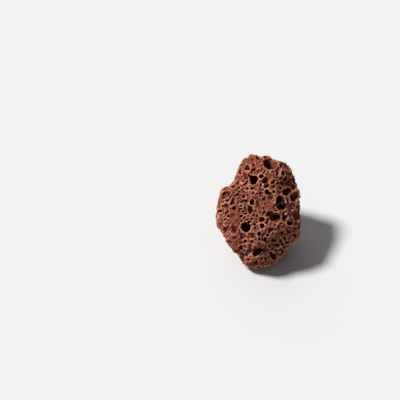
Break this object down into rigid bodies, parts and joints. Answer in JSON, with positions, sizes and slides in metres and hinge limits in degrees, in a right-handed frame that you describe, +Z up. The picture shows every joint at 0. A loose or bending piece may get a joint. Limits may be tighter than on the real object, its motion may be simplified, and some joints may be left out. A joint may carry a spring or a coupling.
{
  "type": "lava cooking stone",
  "caption": "Rounded lump of red-brown vesicular lava rock, full of broken bubbles, heated on a grill or in a fire to spread its heat. Lies on a small worn flat.",
  "frame": {"origin": "in the plane of the resting flat, under the middle of the stone's box", "axes": "+Z up from the resting flat, -Y to the side that the broad broken face leans towards, +X to its right"},
  "size_m": [0.0474, 0.0517, 0.0479],
  "materials": {
    "scoria": "dull red-brown scoria, rough and porous, with bubble holes that go nearly black inside"
  },
  "bodies": {
    "root": {"lava_stone": "scoria"}
  },
  "joints": []
}
